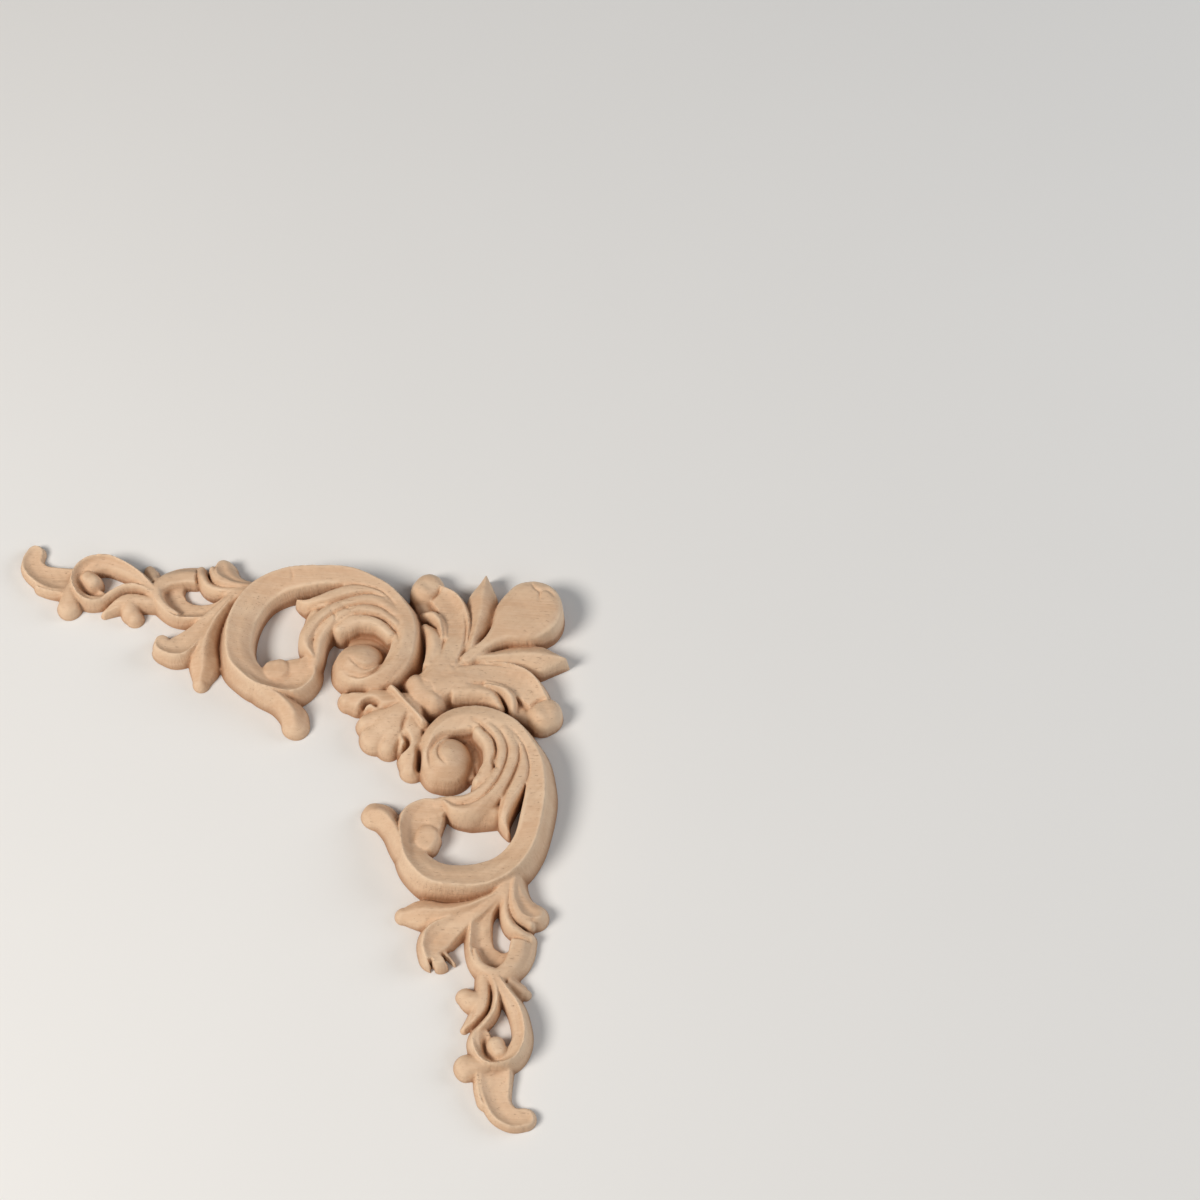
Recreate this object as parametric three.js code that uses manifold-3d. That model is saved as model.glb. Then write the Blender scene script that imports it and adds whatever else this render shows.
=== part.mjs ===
// Carved wooden corner onlay: a pierced acanthus scroll for the corner of a door or panel.
//
// The plan is drawn in a square with the ornament's outer corner at (0, 0). One arm runs along -X,
// the other along -Y, and the two halves mirror each other about the diagonal X = Y. The flat back
// lies at Z = 0. Only the left half is listed, and every stroke of it is then mirrored.
//
// Every leaf, stem and scroll is one carved stroke. A stroke is a few rows of
//   [x, y, half width, height at its left edge, height in the middle, height at its right edge]
// in design units, left and right as seen when walking from the first row to the last.
// A smooth curve through the rows gives its sections, which are lofted and joined. The power says how
// the top falls from its middle to its edges, and the walls say how far the left and right sides lean.

import * as THREE from 'three';
import { mergeVertices } from 'three/addons/utils/BufferGeometryUtils.js';
import Module from 'manifold-3d';

const wasm = await Module();
wasm.setup();

// Driving dimensions, in millimetres.
const LEG = 150;
const RELIEF = 10.4;
const BACK_LAND = 32;
const WOOD_COLOUR = 0xdcb894;

// The rows below are drawn on a square of DESIGN_LEG with crests at DESIGN_RELIEF.
const DESIGN_LEG = 150;
const DESIGN_RELIEF = 10.4;

// How finely the curves are cut into facets.
const TURN_PER_STEP = 0.74;
const MOST_STEPS = 3;
const BROAD_FROM = 3.2;
const BROAD_ACROSS = [-1, -0.5, 0, 0.5, 1];
const NARROW_ACROSS = [-1, 0, 1];
const CAP_ANGLES = [1.0];

const ROUND = 2;
const RIDGE = 1.3;
const FLAT = 3;
const SHOULDER = 5;

// How far a wall leans outwards, in millimetres for each millimetre of its height.
const SLOPED = 0.3;
const STEEP = 0.08;

// The leaf that curls up at the tip of the arm.
const armTip = [
  { power: ROUND, walls: [SLOPED, SLOPED], caps: [true, false], rows: [
    [-146.4, -3.2, 2.1, 2.2, 2.0, 2.8],
    [-146.6, -6.4, 2.5, 2.0, 1.7, 3.2],
    [-144.2, -9.4, 2.8, 2.2, 1.7, 3.4],
    [-140.0, -10.8, 3.4, 2.6, 2.0, 3.6],
    [-134.0, -11.2, 3.6, 3.4, 2.8, 4.0],
  ] },
  { power: ROUND, walls: [SLOPED, SLOPED], caps: [true, false], rows: [
    [-142.8, -12.4, 1.8, 1.9, 2.0, 3.6],
    [-139.6, -13.0, 2.0, 2.0, 2.4, 3.8],
    [-134.5, -13.4, 2.2, 3.0, 3.0, 4.0],
  ] },
];

// The small scroll next to it, its rolled end and the three lobes under it.
const smallScroll = [
  { power: ROUND, walls: [STEEP, SLOPED], caps: [false, false], rows: [
    [-111.2, -15.2, 1.3, 4.6, 5.4, 5.4],
    [-116.4, -11.0, 1.3, 3.8, 5.6, 6.6],
    [-121.4, -7.8, 1.5, 3.4, 5.2, 7.0],
    [-127.0, -6.3, 1.6, 3.4, 5.0, 7.2],
    [-131.6, -8.0, 1.8, 3.6, 4.6, 7.0],
    [-133.2, -11.6, 1.5, 3.2, 3.8, 6.8],
    [-132.0, -14.6, 1.3, 3.0, 3.8, 6.2],
    [-129.2, -16.2, 1.1, 3.0, 4.2, 5.4],
    [-126.4, -16.2, 0.9, 3.2, 4.2, 4.6],
  ] },
  { power: FLAT, walls: [STEEP, STEEP], caps: [true, true], rows: [
    [-130.9, -10.5, 2.0, 3.6, 5.6, 4.6],
    [-129.4, -11.6, 2.4, 3.0, 6.0, 3.4],
  ] },
  { power: RIDGE, walls: [SLOPED, STEEP], caps: [false, true], rows: [
    [-111.4, -14.8, 1.2, 4.8, 5.4, 4.8],
    [-116.0, -12.6, 1.0, 4.6, 6.0, 2.8],
    [-120.4, -12.6, 1.0, 4.2, 5.8, 2.4],
    [-124.0, -14.5, 1.0, 3.8, 5.2, 2.6],
    [-126.4, -16.6, 0.8, 3.2, 4.4, 3.2],
  ] },
  { power: ROUND, walls: [SLOPED, SLOPED], caps: [false, true], rows: [
    [-110.9, -16.2, 1.1, 3.8, 4.8, 4.4],
    [-116.0, -16.0, 1.5, 3.4, 4.8, 4.4],
    [-120.6, -16.6, 1.5, 3.2, 4.6, 4.0],
    [-125.4, -19.8, 0.5, 1.6, 2.6, 2.0],
  ] },
  { power: ROUND, walls: [SLOPED, SLOPED], caps: [false, true], rows: [
    [-134.6, -12.5, 1.2, 4.6, 4.8, 3.8],
    [-135.0, -15.6, 2.0, 4.0, 4.8, 3.0],
    [-135.0, -18.2, 2.6, 3.2, 4.4, 2.8],
  ] },
  { power: ROUND, walls: [SLOPED, SLOPED], caps: [false, true], rows: [
    [-118.8, -15.6, 1.4, 3.8, 4.6, 3.6],
    [-118.4, -18.4, 2.1, 3.4, 4.6, 3.0],
    [-117.2, -20.2, 1.8, 2.4, 3.6, 2.2],
  ] },
  { power: ROUND, walls: [SLOPED, SLOPED], caps: [false, true], rows: [
    [-126.0, -16.0, 1.4, 2.6, 3.8, 2.6],
    [-131.0, -16.4, 1.3, 2.6, 3.6, 2.6],
  ] },
  { power: ROUND, walls: [STEEP, STEEP], caps: [true, true], rows: [
    [-131.2, -13.6, 1.8, 2.6, 3.0, 2.8],
    [-127.0, -14.8, 1.5, 2.6, 3.0, 2.8],
  ] },
  { power: ROUND, walls: [SLOPED, SLOPED], caps: [false, true], rows: [
    [-113.0, -10.0, 1.6, 3.0, 4.4, 3.0],
    [-115.0, -6.6, 1.5, 2.0, 3.0, 2.0],
    [-115.4, -5.6, 1.1, 1.5, 2.2, 1.5],
  ] },
];

// The husk: a hollow shell with small leaves folded over its outer side.
const husk = [
  { power: ROUND, walls: [SLOPED, STEEP], caps: [false, true], rows: [
    [-87.2, -12.6, 1.0, 7.0, 7.4, 7.0],
    [-90.8, -13.5, 1.4, 7.2, 7.2, 6.8],
    [-95.4, -17.0, 2.0, 6.2, 4.8, 4.2],
    [-100.4, -17.8, 2.7, 5.4, 3.0, 2.2],
    [-105.8, -16.8, 3.3, 5.0, 2.0, 1.6],
    [-109.0, -13.2, 4.0, 5.4, 2.0, 1.6],
    [-108.0, -9.4, 3.3, 3.4, 3.0, 1.6],
    [-105.2, -7.4, 2.8, 2.4, 3.0, 2.0],
    [-101.8, -6.6, 2.2, 2.2, 3.0, 2.4],
  ] },
  { power: ROUND, walls: [SLOPED, STEEP], caps: [true, false], rows: [
    [-105.6, -19.0, 0.5, 4.4, 4.6, 3.4],
    [-109.8, -16.9, 1.0, 5.2, 5.4, 4.0],
    [-111.7, -13.2, 1.5, 5.4, 5.8, 4.4],
    [-109.9, -9.8, 2.2, 3.8, 5.4, 4.8],
    [-106.4, -8.1, 2.4, 2.8, 4.9, 4.8],
    [-102.6, -7.6, 2.4, 2.4, 4.9, 4.8],
  ] },
  { power: ROUND, walls: [STEEP, STEEP], caps: [false, true], rows: [
    [-86.4, -11.4, 0.9, 6.8, 7.4, 6.8],
    [-90.0, -12.3, 1.1, 6.2, 7.2, 6.2],
    [-94.8, -12.4, 1.3, 4.6, 6.6, 5.4],
    [-98.6, -10.9, 1.5, 3.2, 6.2, 4.6],
    [-101.0, -8.0, 1.5, 2.8, 5.6, 4.2],
    [-101.6, -5.6, 1.2, 2.4, 4.0, 3.2],
  ] },
  { power: ROUND, walls: [STEEP, STEEP], caps: [false, true], rows: [
    [-86.2, -10.8, 0.9, 6.6, 7.2, 6.6],
    [-89.8, -11.0, 1.1, 6.2, 7.4, 6.2],
    [-93.8, -10.2, 1.3, 5.8, 7.2, 5.4],
    [-96.6, -8.4, 1.4, 5.0, 6.8, 4.8],
    [-98.2, -5.8, 1.2, 4.0, 5.6, 4.2],
  ] },
  { power: ROUND, walls: [SLOPED, SLOPED], caps: [false, true], rows: [
    [-86.2, -10.2, 0.9, 6.4, 6.4, 5.6],
    [-89.2, -9.7, 1.3, 6.8, 6.2, 4.8],
    [-92.2, -8.4, 1.8, 7.4, 5.6, 4.4],
    [-94.4, -6.4, 2.5, 7.2, 5.2, 3.8],
    [-94.9, -4.9, 2.3, 6.0, 5.0, 3.4],
  ] },
];

// The fan below the joint: a curled lobe, a pointed leaf and the hollow beside the ring.
const fan = [
  { power: ROUND, walls: [SLOPED, SLOPED], caps: [false, true], rows: [
    [-91.5, -14.0, 0.9, 6.8, 7.0, 6.6],
    [-96.4, -19.4, 1.5, 5.8, 5.8, 5.4],
    [-99.8, -24.4, 2.4, 5.8, 4.6, 4.2],
    [-103.4, -28.4, 3.4, 6.0, 4.0, 3.4],
    [-107.4, -28.7, 2.5, 5.8, 4.2, 3.6],
    [-108.5, -27.4, 1.6, 4.8, 4.4, 3.8],
  ] },
  { power: RIDGE, walls: [SLOPED, SLOPED], caps: [false, true], rows: [
    [-91.5, -14.8, 0.9, 6.0, 7.2, 6.0],
    [-95.0, -21.0, 1.7, 4.8, 7.2, 4.8],
    [-96.8, -27.5, 2.5, 3.8, 6.6, 4.0],
    [-96.7, -33.2, 3.3, 2.8, 5.6, 3.2],
    [-97.1, -37.6, 1.9, 1.4, 3.2, 1.8],
  ] },
  { power: ROUND, walls: [SLOPED, SLOPED], caps: [false, true], rows: [
    [-90.8, -15.0, 1.4, 5.6, 5.2, 5.2],
    [-92.0, -21.0, 1.6, 3.6, 2.8, 3.6],
    [-92.6, -28.0, 1.8, 2.8, 1.8, 2.8],
    [-92.4, -32.0, 1.3, 1.8, 1.3, 1.8],
  ] },
];

// The ring: a coved band that starts below the opening, rises and runs over into the big volute.
const ring = [
  { power: RIDGE, walls: [SLOPED, STEEP], caps: [true, false], rows: [
    [-69.4, -31.4, 1.9, 6.0, 5.6, 5.8],
    [-69.9, -34.8, 2.5, 6.2, 4.8, 5.0],
    [-72.9, -37.6, 2.8, 7.2, 4.6, 4.4],
    [-78.2, -37.9, 2.4, 8.4, 5.0, 4.6],
    [-83.0, -35.8, 2.8, 9.0, 6.6, 5.0],
    [-86.8, -31.6, 3.3, 9.4, 7.8, 5.4],
    [-88.0, -25.5, 3.4, 9.6, 8.2, 5.8],
    [-86.9, -18.8, 3.4, 9.6, 8.2, 6.0],
    [-83.4, -13.0, 3.2, 9.8, 8.4, 6.4],
    [-77.6, -9.2, 2.9, 10.0, 8.8, 7.6],
    [-69.8, -7.6, 2.6, 10.4, 9.6, 9.0],
    [-62.0, -7.3, 2.4, 10.4, 9.6, 9.0],
    [-55.2, -9.2, 2.4, 10.2, 9.6, 8.8],
    [-49.2, -13.6, 2.6, 10.0, 9.6, 8.8],
    [-45.8, -19.0, 3.0, 9.4, 9.9, 8.6],
    [-45.0, -24.8, 3.2, 8.8, 10.0, 8.2],
    [-46.4, -30.6, 3.2, 7.6, 9.8, 8.0],
    [-50.4, -34.6, 2.8, 6.4, 9.2, 8.0],
    [-56.0, -35.4, 2.2, 5.8, 8.4, 8.0],
  ] },
  { power: SHOULDER, walls: [STEEP, STEEP], caps: [true, true], rows: [
    [-78.2, -34.0, 3.3, 3.8, 5.6, 4.4],
    [-76.8, -33.6, 3.3, 3.8, 5.8, 3.8],
  ] },
  { power: ROUND, walls: [STEEP, STEEP], caps: [true, true], rows: [
    [-75.2, -33.4, 2.8, 4.0, 4.7, 3.4],
    [-71.2, -32.4, 2.6, 4.6, 5.4, 4.4],
  ] },
  { power: RIDGE, walls: [SLOPED, SLOPED], caps: [false, true], rows: [
    [-84.0, -37.2, 0.6, 7.4, 8.0, 7.4],
    [-80.2, -39.9, 1.3, 6.4, 8.0, 6.6],
    [-75.5, -42.1, 2.0, 4.6, 7.6, 4.8],
    [-72.1, -45.0, 2.7, 3.6, 6.6, 3.4],
    [-71.1, -47.8, 2.9, 2.4, 4.8, 2.4],
  ] },
];

// The acanthus leaf laid over the band: four lobes with hooked tips.
const acanthus = [
  { power: FLAT, walls: [STEEP, STEEP], caps: [true, false], rows: [
    [-49.6, -13.2, 1.4, 9.2, 9.8, 9.4],
    [-55.6, -11.0, 2.0, 9.2, 9.9, 9.4],
    [-61.6, -11.9, 2.1, 9.0, 9.8, 8.8],
    [-67.6, -14.0, 1.9, 8.0, 9.2, 7.2],
    [-71.6, -14.5, 1.3, 6.0, 7.6, 5.6],
    [-74.8, -13.2, 0.3, 4.6, 5.8, 4.8],
  ] },
  { power: ROUND, walls: [STEEP, STEEP], caps: [true, false], rows: [
    [-48.0, -16.6, 1.4, 9.2, 10.0, 9.4],
    [-53.6, -13.8, 1.8, 9.2, 10.1, 9.4],
    [-60.0, -15.2, 2.0, 9.0, 9.9, 9.2],
    [-66.0, -18.4, 2.4, 8.2, 9.5, 8.0],
    [-70.0, -22.6, 2.4, 7.8, 9.0, 5.8],
    [-70.4, -26.6, 1.9, 7.4, 8.6, 5.0],
    [-68.0, -30.6, 0.7, 6.2, 7.8, 5.2],
  ] },
  { power: ROUND, walls: [STEEP, STEEP], caps: [true, false], rows: [
    [-47.4, -20.4, 1.4, 9.0, 10.0, 9.2],
    [-52.0, -17.2, 1.6, 9.0, 10.1, 9.2],
    [-58.0, -17.0, 1.8, 8.8, 10.0, 9.2],
    [-63.4, -19.4, 1.8, 7.6, 9.6, 8.6],
    [-66.6, -24.4, 1.5, 5.8, 8.2, 7.2],
    [-67.3, -29.8, 1.4, 5.0, 7.2, 6.4],
    [-68.2, -33.0, 1.4, 4.6, 5.8, 5.2],
  ] },
  { power: FLAT, walls: [STEEP, STEEP], caps: [true, true], rows: [
    [-48.8, -23.2, 1.2, 8.4, 9.6, 9.0],
    [-52.4, -20.2, 1.5, 8.4, 9.9, 9.2],
    [-57.0, -19.6, 1.8, 7.8, 9.8, 9.0],
    [-60.4, -20.8, 2.1, 6.8, 9.2, 8.0],
    [-62.0, -22.0, 1.8, 6.2, 8.6, 7.2],
  ] },
  { power: ROUND, walls: [SLOPED, SLOPED], caps: [true, true], rows: [
    [-69.2, -17.4, 1.7, 6.0, 7.0, 5.4],
    [-69.6, -23.0, 2.4, 6.4, 7.4, 5.0],
  ] },
];

// The volute's domed eye, and the turn that runs under it.
const volute = [
  { power: ROUND, walls: [SLOPED, SLOPED], caps: [true, true], rows: [
    [-56.8, -30.6, 5.4, 5.6, 9.8, 5.8],
    [-55.6, -30.4, 5.4, 5.6, 9.8, 5.8],
  ] },
  { power: ROUND, walls: [SLOPED, SLOPED], caps: [false, false], rows: [
    [-50.6, -34.4, 2.4, 6.2, 8.8, 7.8],
    [-55.6, -35.4, 2.1, 5.8, 8.2, 8.2],
    [-60.0, -33.6, 1.6, 5.2, 7.2, 7.6],
    [-61.4, -30.4, 1.0, 4.8, 6.2, 6.6],
  ] },
  { power: ROUND, walls: [STEEP, STEEP], caps: [true, true], rows: [
    [-57.6, -24.4, 2.4, 3.0, 3.4, 3.0],
    [-52.4, -24.2, 2.8, 3.0, 3.4, 3.0],
    [-49.8, -28.6, 2.0, 3.0, 3.4, 3.0],
  ] },
];

// One side of the palmette: curled leaf with its ball end, two rolls and a pointed leaf.
const palmette = [
  { power: ROUND, walls: [STEEP, SLOPED], caps: [false, true], rows: [
    [-37.2, -36.0, 3.0, 8.0, 9.6, 8.6],
    [-34.4, -30.0, 3.2, 8.0, 9.2, 8.4],
    [-32.4, -24.0, 3.4, 7.4, 8.0, 8.6],
    [-32.2, -18.0, 3.5, 6.6, 6.8, 8.8],
    [-34.2, -12.4, 3.4, 6.0, 6.0, 8.2],
    [-38.0, -8.8, 2.6, 5.4, 5.8, 6.6],
  ] },
  { power: ROUND, walls: [STEEP, STEEP], caps: [true, true], rows: [
    [-41.2, -7.4, 4.1, 3.8, 8.0, 4.2],
    [-40.4, -6.2, 4.1, 3.8, 8.0, 4.2],
  ] },
  { power: ROUND, walls: [STEEP, STEEP], caps: [true, true], rows: [
    [-42.2, -9.4, 2.2, 3.2, 4.2, 3.2],
    [-40.0, -14.0, 2.4, 3.2, 4.2, 3.2],
  ] },
  { power: ROUND, walls: [STEEP, STEEP], caps: [false, true], rows: [
    [-34.6, -22.8, 0.9, 7.2, 8.6, 7.6],
    [-35.8, -18.4, 1.2, 6.2, 8.6, 7.0],
    [-38.2, -15.6, 1.4, 5.0, 8.0, 6.0],
    [-41.0, -15.0, 1.1, 3.4, 5.8, 4.2],
  ] },
  { power: ROUND, walls: [STEEP, STEEP], caps: [false, true], rows: [
    [-37.6, -31.0, 1.8, 7.0, 8.8, 8.0],
    [-37.0, -25.6, 2.0, 5.8, 8.6, 7.4],
    [-37.8, -21.4, 2.0, 5.0, 8.2, 6.6],
    [-40.2, -18.8, 1.5, 3.8, 6.6, 5.0],
  ] },
  { power: RIDGE, walls: [STEEP, STEEP], caps: [false, false], rows: [
    [-27.8, -27.0, 0.9, 7.4, 8.6, 7.4],
    [-26.8, -21.0, 2.1, 6.2, 8.6, 6.2],
    [-25.8, -15.0, 3.7, 5.2, 8.4, 5.2],
    [-25.5, -9.4, 3.9, 4.8, 8.4, 4.8],
    [-25.3, -5.2, 2.0, 5.0, 7.6, 5.0],
    [-25.3, -2.2, 0.3, 5.2, 6.8, 5.2],
  ] },
];

// Half of the drop below the collar: an ear, and the small lobe between the ear and the tongue.
const dropSide = [
  { power: ROUND, walls: [SLOPED, SLOPED], caps: [true, true], rows: [
    [-44.5, -41.6, 2.4, 7.2, 8.2, 7.2],
    [-50.0, -40.7, 2.8, 6.0, 7.0, 6.0],
    [-55.4, -39.8, 2.6, 5.0, 6.2, 4.8],
    [-58.0, -39.6, 2.0, 4.2, 5.2, 3.8],
  ] },
  { power: ROUND, walls: [SLOPED, SLOPED], caps: [true, true], rows: [
    [-48.4, -45.2, 2.4, 6.0, 7.2, 6.0],
    [-52.2, -46.6, 2.0, 4.2, 5.8, 4.6],
  ] },
];

// What lies on the diagonal itself: the broad lobe, the boss, the collar and the drop's tongue.
const diagonal = [
  { power: SHOULDER, walls: [STEEP, STEEP], caps: [false, true], rows: [
    [-29.0, -29.0, 2.0, 7.8, 8.8, 7.8],
    [-24.0, -24.0, 1.6, 7.2, 9.0, 7.2],
    [-20.6, -20.6, 3.0, 7.0, 9.4, 7.0],
    [-16.6, -16.6, 7.0, 7.6, 9.8, 7.6],
    [-12.4, -12.4, 8.2, 8.4, 10.0, 8.4],
  ] },
  { power: ROUND, walls: [SLOPED, SLOPED], caps: [true, true], rows: [
    [-37.0, -37.0, 4.6, 7.2, 9.4, 7.2],
    [-31.0, -31.0, 4.6, 7.4, 9.0, 7.4],
  ] },
  { power: ROUND, walls: [SLOPED, SLOPED], caps: [true, true], rows: [
    [-40.2, -36.0, 2.7, 6.6, 9.4, 7.2],
    [-38.4, -38.4, 3.4, 7.6, 9.5, 7.6],
    [-36.0, -40.2, 2.7, 7.2, 9.4, 6.6],
  ] },
  { power: RIDGE, walls: [SLOPED, SLOPED], caps: [true, true], rows: [
    [-46.8, -38.0, 0.7, 8.0, 9.4, 8.0],
    [-42.4, -42.4, 0.8, 8.4, 9.8, 8.4],
    [-38.0, -46.8, 0.7, 8.0, 9.4, 8.0],
  ] },
  { power: ROUND, walls: [SLOPED, SLOPED], caps: [true, true], rows: [
    [-42.8, -42.8, 4.0, 7.2, 8.6, 7.2],
    [-46.8, -46.8, 5.0, 5.2, 7.8, 5.2],
    [-49.6, -49.6, 3.6, 4.0, 6.0, 4.0],
  ] },
];

const planScale = LEG / DESIGN_LEG;
const riseScale = RELIEF / DESIGN_RELIEF;

// Swaps a stroke to the other side of the diagonal, which also swaps its left and right edges.
function mirrored(stroke) {
  const rows = stroke.rows.map(([x, y, half, left, middle, right]) => [y, x, half, right, middle, left]);
  const walls = [stroke.walls[1], stroke.walls[0]];
  return { ...stroke, walls, rows };
}

// A smooth value between b and c, with a and d as the rows before and after them.
function blend(a, b, c, d, t) {
  const start = (c - a) / 2;
  const end = (d - b) / 2;
  const rise = c - b;
  const cubic = start + end - 2 * rise;
  const square = 3 * rise - 2 * start - end;
  return b + start * t + square * t * t + cubic * t * t * t;
}

function headingBetween(from, to) {
  return new THREE.Vector2(to[0] - from[0], to[1] - from[1]).normalize();
}

// How many steps a span takes: more where the stroke turns more.
function stepsFor(before, here, next, after) {
  const entering = headingBetween(before, next);
  const leaving = headingBetween(here, after);
  const turn = Math.acos(THREE.MathUtils.clamp(entering.dot(leaving), -1, 1));
  return THREE.MathUtils.clamp(Math.ceil(turn / TURN_PER_STEP), 1, MOST_STEPS);
}

// The stroke's rows with the steps between them filled in.
function smoothRows(rows) {
  const smooth = [];
  for (let span = 0; span < rows.length - 1; span += 1) {
    const here = rows[span];
    const next = rows[span + 1];
    const before = rows[Math.max(span - 1, 0)];
    const after = rows[Math.min(span + 2, rows.length - 1)];
    const steps = stepsFor(before, here, next, after);
    for (let step = 0; step < steps; step += 1) {
      const t = step / steps;
      smooth.push(here.map((value, i) => blend(before[i], value, next[i], after[i], t)));
    }
  }
  smooth.push([...rows[rows.length - 1]]);
  return smooth;
}

// One section across the stroke, with the direction in which the stroke walks.
function makeSection(row, heading) {
  const [x, y, half, left, middle, right] = row;
  return { x, y, half, left, middle, right, heading };
}

// Sections beyond an end that close it with a round nose.
function capSections(section, sign) {
  const edge = (section.left + section.right) / 2;
  return CAP_ANGLES.map((angle) => {
    const reach = sign * section.half * Math.sin(angle);
    const fall = Math.cos(angle) ** 2;
    const near = Math.cos(angle);
    return {
      ...section,
      x: section.x + section.heading.x * reach,
      y: section.y + section.heading.y * reach,
      half: section.half * near,
      left: edge + (section.left - edge) * near,
      middle: edge + (section.middle - edge) * fall,
      right: edge + (section.right - edge) * near,
    };
  });
}

function sectionsOf(stroke) {
  const rows = smoothRows(stroke.rows);
  const sections = rows.map((row, i) => {
    const from = rows[Math.max(i - 1, 0)];
    const to = rows[Math.min(i + 1, rows.length - 1)];
    return makeSection(row, headingBetween(from, to));
  });
  const start = stroke.caps[0] ? capSections(sections[0], -1).reverse() : [];
  const end = stroke.caps[1] ? capSections(sections[sections.length - 1], 1) : [];
  return [...start, ...sections, ...end];
}

// The points of one section: its foot on the left, its top from left to right, its foot on the right.
function sectionPoints(section, power, walls, across) {
  const { x, y, half, left, middle, right, heading } = section;
  const place = (offset, height) => new THREE.Vector3(
    (x - heading.y * offset + BACK_LAND) * planScale,
    (y + heading.x * offset + BACK_LAND) * planScale,
    height * riseScale,
  );
  const top = across.map((t) => {
    const edge = t < 0 ? left : right;
    const height = middle + (edge - middle) * Math.abs(t) ** power;
    return place(-t * half, height);
  });
  const leftFoot = place(half + left * walls[0], 0);
  const rightFoot = place(-half - right * walls[1], 0);
  return [leftFoot, ...top, rightFoot];
}

function solidFrom(geometry) {
  geometry.deleteAttribute('normal');
  geometry.deleteAttribute('uv');
  const merged = mergeVertices(geometry, 1e-5);
  return new wasm.Manifold(new wasm.Mesh({
    numProp: 3,
    vertProperties: new Float32Array(merged.attributes.position.array),
    triVerts: new Uint32Array(merged.index.array),
  }));
}

// Lofts a stroke through its sections and closes both ends.
function carve(stroke) {
  const widest = Math.max(...stroke.rows.map((row) => row[2]));
  const across = widest >= BROAD_FROM ? BROAD_ACROSS : NARROW_ACROSS;
  const { power, walls } = stroke;
  const sections = sectionsOf(stroke).map((section) => sectionPoints(section, power, walls, across));
  const count = sections[0].length;
  const positions = sections.flat().flatMap((point) => [point.x, point.y, point.z]);
  const index = [];
  for (let i = 0; i < sections.length - 1; i += 1) {
    for (let j = 0; j < count; j += 1) {
      const k = (j + 1) % count;
      const near = i * count;
      const far = near + count;
      index.push(near + j, far + k, far + j);
      index.push(near + j, near + k, far + k);
    }
  }
  const last = (sections.length - 1) * count;
  for (let j = 1; j < count - 1; j += 1) {
    index.push(0, j + 1, j);
    index.push(last, last + j, last + j + 1);
  }
  const geometry = new THREE.BufferGeometry();
  geometry.setAttribute('position', new THREE.Float32BufferAttribute(positions, 3));
  geometry.setIndex(index);
  return solidFrom(geometry);
}

function buildOnlay() {
  const side = [armTip, smallScroll, husk, fan, ring, acanthus, volute, palmette, dropSide].flat();
  const strokes = [...side, ...side.map(mirrored), ...diagonal];
  let solid = carve(strokes[0]);
  for (const stroke of strokes.slice(1)) {
    solid = solid.add(carve(stroke));
  }
  const mesh = solid.getMesh();
  const geometry = new THREE.BufferGeometry();
  geometry.setAttribute('position', new THREE.Float32BufferAttribute(mesh.vertProperties, 3));
  geometry.setIndex(new THREE.BufferAttribute(mesh.triVerts, 1));
  geometry.computeVertexNormals();
  return geometry;
}

const wood = new THREE.MeshStandardMaterial({ color: WOOD_COLOUR, roughness: 0.75, metalness: 0 });
const cornerOnlay = new THREE.Mesh(buildOnlay(), wood);
cornerOnlay.name = 'corner_onlay';

const onlay = new THREE.Group();
onlay.add(cornerOnlay);

export default onlay;
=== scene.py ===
"""Looks of the carved wooden corner onlay: fine relief, bare wood, pale floor, soft light, camera."""

import math

import bmesh
import bpy
import numpy as np
from mathutils import Matrix, Vector


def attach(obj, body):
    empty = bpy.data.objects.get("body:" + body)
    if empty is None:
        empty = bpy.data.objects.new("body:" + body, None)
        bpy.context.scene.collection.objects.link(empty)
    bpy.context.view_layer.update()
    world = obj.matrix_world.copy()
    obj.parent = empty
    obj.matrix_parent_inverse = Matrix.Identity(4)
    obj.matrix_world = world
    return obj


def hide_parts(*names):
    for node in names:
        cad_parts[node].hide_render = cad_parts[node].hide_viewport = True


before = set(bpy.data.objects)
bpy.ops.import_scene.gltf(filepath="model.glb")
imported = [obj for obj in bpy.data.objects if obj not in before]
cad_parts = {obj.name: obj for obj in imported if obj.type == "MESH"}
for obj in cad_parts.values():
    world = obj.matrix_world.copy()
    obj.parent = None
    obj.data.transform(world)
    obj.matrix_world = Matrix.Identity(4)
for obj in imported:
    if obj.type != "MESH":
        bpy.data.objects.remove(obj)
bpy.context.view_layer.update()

# Plan of the carving, in millimetres on the drawing's own square. The ornament's outer corner is at
# (0, 0), one arm runs along -X and the other along -Y, and the halves mirror about the line X = Y.
# The frame's origin is BACK_LAND inside both outer edges, on the flat back.
BACK_LAND = 32.0
MM_PER_METRE = 1000

# The height field's spacing, how far along each arm it reaches, and how far past the outer corner.
GRID = 0.3
REACH = 153.0
PAST_CORNER = 2.0
EMPTY = -30.0

# How far a wall leans outwards for each millimetre down, and how far a stroke's cut end does.
SLOPED = 0.3
STEEP = 0.08
END_LEAN = 0.14

# Edge powers, from a sharp ridge to a broad band with tight shoulders.
RIDGE = 1.3
ROUND = 2.0
FLAT = 3.0
SHOULDER = 5.0

# The carver's unsteadiness: knife waves in the height, and the outline's wavering.
BROAD_KNIFE_WAVE = 0.09
FINE_KNIFE_WAVE = 0.05
OUTLINE_WAVER = 0.22
HEIGHT_WAVER = 0.006
RAGGED_SPLIT = 0.12
RAGGED_BITE = 0.15

# Steeper turns than this between faces stay sharp edges.
SHARP_EDGE = math.radians(62)

# A stroke is (edge power, (lean of the left wall, of the right wall), (round start, round end), rows),
# and a row is (x, y, half width, height at the left edge, in the middle, at the right edge).

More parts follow.
